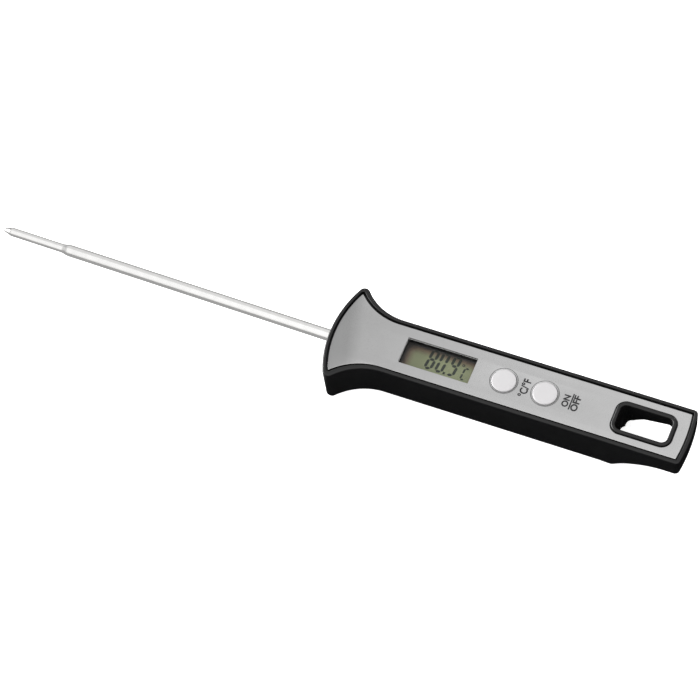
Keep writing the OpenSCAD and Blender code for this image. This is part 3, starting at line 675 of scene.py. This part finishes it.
def make_dish(name, x):
    """Dished ring of the plate round a button."""
    rim, hole, top, foot = DISH_R, DISH_HOLE_R, PLATE_TOP, PLATE_TOP - PLATE_T
    profile = [(rim, foot), (rim, top - 0.05), (rim - 0.02, top - 0.01), (rim - 0.06, top - 0.01),
               (rim - 0.1, top - 0.02), (hole + 0.06, top - 0.09), (hole + 0.02, top - 0.11),
               (hole, top - 0.15), (hole, foot)]
    dressed(finished(name, turned(profile, 128, at(x)), 60), "silver_plate")


def lettering(name, text, x, y, height, bold, narrow=1.0):
    """Printed word centred at x, y that reads towards +Y."""
    data = bpy.data.curves.new(name, "FONT")
    data.body = text
    data.size = height
    data.align_x, data.align_y = "CENTER", "CENTER"
    data.extrude = 0.006
    data.offset = bold
    turn = (Matrix.Translation((x, y, PLATE_TOP + 0.008)) @ Matrix.Rotation(math.pi / 2, 4, "Z")
            @ Matrix.Diagonal((narrow, 1, 1, 1)))
    dressed(finished(name, drawn(data, turn), 50), "black_plastic", look=INK)


def make_labels():
    lettering("unit_label", "°C/°F", 68.5, -0.3, 3.6, 0.11, 0.85)
    lettering("on_label", "ON", 82.6, -0.2, 2.9, 0.11)
    lettering("off_label", "OFF", 85.9, -0.2, 3.1, 0.11, 1.08)
    bar = filled("label_bar", [whole(half_rectangle(84.0, 84.45, 3.0))], PLATE_TOP + 0.014, 0.012)
    dressed(bar, "black_plastic", look=INK)


# ---------------------------------------------------------------- display

SEGMENTS = {"8": "abcdefg", "0": "abcdef", "9": "abcdfg", "C": "adef"}


def segment_loops(shown, x, y, w, h, t):
    """Outlines of a character's lit segments, t thick, from its lower left corner at x, y."""
    gap = t * 0.16

    def flat(level):
        a, b = gap + t * 0.5, w - gap - t * 0.5
        return [(a, level), (a + t / 2, level + t / 2), (b - t / 2, level + t / 2), (b, level),
                (b - t / 2, level - t / 2), (a + t / 2, level - t / 2)]

    def upright(across, low, high):
        a, b = low + gap, high - gap
        return [(across, a), (across + t / 2, a + t / 2), (across + t / 2, b - t / 2), (across, b),
                (across - t / 2, b - t / 2), (across - t / 2, a + t / 2)]

    mid = h / 2
    shapes = {"a": flat(h - t / 2), "g": flat(mid), "d": flat(t / 2),
              "f": upright(t / 2, mid, h - t / 2), "e": upright(t / 2, t / 2, mid),
              "b": upright(w - t / 2, mid, h - t / 2), "c": upright(w - t / 2, t / 2, mid)}
    return [[(x + px + DIGIT_SLANT * py, y + py) for px, py in shapes[s]] for s in SEGMENTS[shown]]


def make_reading():
    """The number with its point, the degree ring and the unit, thin and dark on the display's film."""
    loops = []
    for shown, x in DIGITS:
        loops += segment_loops(shown, x, DIGIT_Y, DIGIT_W, DIGIT_H, DIGIT_STROKE)
    loops.append([(2.1, DIGIT_Y), (2.85, DIGIT_Y), (2.94, DIGIT_Y + 0.9), (2.19, DIGIT_Y + 0.9)])
    loops += segment_loops("C", 7.9, -2.5, 2.0, 4.9, 0.65)
    loops += [arc((7.75, 2.9), r, 0, 11 * math.pi / 6, 11) for r in (0.5, 0.22)]
    loops = [[(WINDOW_X + x, y) for x, y in loop] for loop in loops]
    dressed(filled("reading", loops, FILM_TOP + 0.02, 0.02), "lcd_film", look=SEGMENT)


# ---------------------------------------------------------------- buttons, probe and cover


def make_button(name, x, body, node):
    edge = arc((BUTTON_R - CAP_EDGE, CAP_TOP - CAP_EDGE), CAP_EDGE, 0, math.pi / 2, 10)
    profile = [(0, FLANGE_Z), (FLANGE_R, FLANGE_Z), (FLANGE_R, FLANGE_TOP), (BUTTON_R, FLANGE_TOP)]
    profile += edge + [(BUTTON_R * 0.4, CAP_TOP), (0, CAP_TOP)]
    dressed(finished(name, turned(profile, 128, at(x))), "button_white", body, [node])


def make_probe():
    """Tube turned from its root to its point and back along its bore."""
    profile = [(BORE_R, ROOT_S), (ROOT_R, ROOT_S), (ROOT_R, 0.38), (SHANK_R, 0.42)]
    for t in (i / 12 for i in range(13)):
        eased = t * t * (3 - 2 * t)
        profile.append((SHANK_R + (THIN_R - SHANK_R) * eased, TAPER_S + (THIN_S - TAPER_S) * t))
    neck = THIN_R - 0.03
    profile += [(THIN_R, POINT_S - 0.4), (neck, POINT_S)]
    profile += [(neck - (neck - NOSE_R) * t, POINT_S + 3.95 * t) for t in (0.1, 0.3, 0.5, 0.7, 0.9, 1.0)]
    profile += [(0.22, TIP_S - 0.1), (0.12, TIP_S - 0.03), (0, TIP_S)]
    thin_bore = THIN_R - 0.4
    profile += [(0, POINT_S + 0.5), (thin_bore, POINT_S - 0.2), (thin_bore, THIN_S), (BORE_R, TAPER_S)]
    tube = finished("probe", turned(profile, 128, ALONG_PROBE))
    dressed(tube, "polished_steel", nodes=["probe_tube"])


def make_cover():
    """Cover plate with rounded lower edges, finger grooves and an arrow, and a tongue on each side."""
    r = COVER_ROUND
    side = [(COVER_X0, COVER_HIGH)] + arc((COVER_X0 + r, COVER_LOW + r), r, math.pi, 1.5 * math.pi, 3)
    for i in range(GROOVES):
        x = COVER_X0 + 3 + GROOVE_PITCH * i
        side += [(x - GROOVE_R * math.cos(a), COVER_LOW + GROOVE_DEPTH * math.sin(a))
                 for a in (math.pi * k / 10 for k in range(11))]
    side += arc((COVER_X1 - r, COVER_LOW + r), r, 1.5 * math.pi, 2 * math.pi, 3) + [(COVER_X1, COVER_HIGH)]
    build = bmesh.new()
    left, right = ([build.verts.new((x, y, z)) for x, z in side] for y in (-COVER_HALF_W, COVER_HALF_W))
    build.faces.new(left)
    build.faces.new(list(reversed(right)))
    for i in range(len(side)):
        j = (i + 1) % len(side)
        build.faces.new((left[j], left[i], right[i], right[j]))
    cover = finished("battery_cover_shell", build)
    tongues = half_rectangle(COVER_X0, COVER_X1 - 1, TONGUE_HALF_W)
    arrow = [(79, 0), (79, 2.6), (83, 0.0001), (83, 0)]
    combine(cover, [slab("tongues", tongues, 0.9, 1.44)], "UNION")
    combine(cover, [slab("arrow", arrow, -1, 0.25)], "DIFFERENCE")
    dressed(cover, "black_plastic", "battery_door", ["battery_cover"])


# ---------------------------------------------------------------- assembly

make_camera()
make_studio()
for part in frame["record"]["subparts"]:
    for holder in frame["nodes"][part["node"]].material_slots:
        holder.material = MATERIALS[part["material_slot"]]
make_housing()
make_plate()
make_labels()
make_reading()
make_dish("unit_dish", UNIT_X)
make_dish("power_dish", POWER_X)
make_button("unit_cap", UNIT_X, "unit_key", "unit_button")
make_button("power_cap", POWER_X, "power_key", "power_button")
make_probe()
make_cover()
